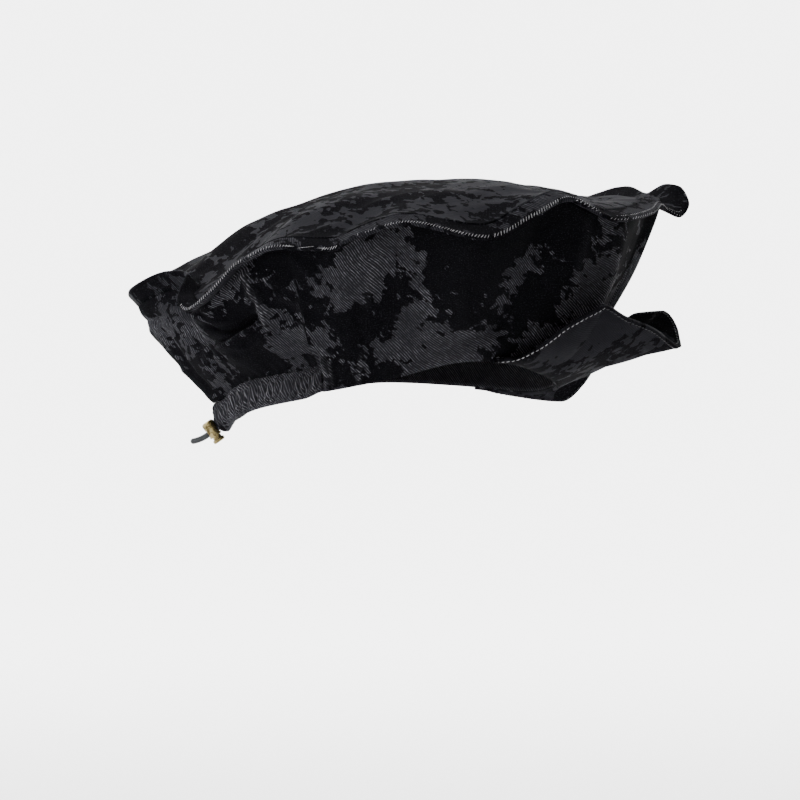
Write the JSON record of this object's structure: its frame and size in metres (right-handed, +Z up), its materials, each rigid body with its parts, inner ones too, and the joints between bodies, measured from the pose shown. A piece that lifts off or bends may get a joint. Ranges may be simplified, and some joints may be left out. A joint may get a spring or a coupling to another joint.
{
  "type": "painter hat",
  "caption": "Soft painter hat with a wide domed top, a rippled seam edge, a waved peak, and a gathered back with a drawcord and cord lock.",
  "frame": {"origin": "the middle of the head opening, where the head sits", "axes": "+X to the front, over the peak, +Y to the wearer's left, +Z up"},
  "size_m": [0.325, 0.2832, 0.1526],
  "materials": {
    "flocked_denim": "washed black denim twill with black velvet flock in ragged patches",
    "elastic_cord": "matt dark grey covered elastic",
    "antique_brass": "antique brass, worn bright on its edges"
  },
  "bodies": {
    "hat": {"crown_top": "flocked_denim", "crown_side": "flocked_denim", "crown_edge": "flocked_denim", "back_casing": "flocked_denim", "peak": "flocked_denim", "drawcord": "elastic_cord", "lock_barrel": "antique_brass"},
    "plunger": {"lock_plunger": "antique_brass"}
  },
  "joints": [
    {"name": "plunger_press", "type": "slide", "parent": "hat", "child": "plunger", "axis": [-0.5736, 0, 0.8192], "range_m": [0, 0.0014], "stiffness_N_per_m": 300, "springref_m": -0.001}
  ]
}
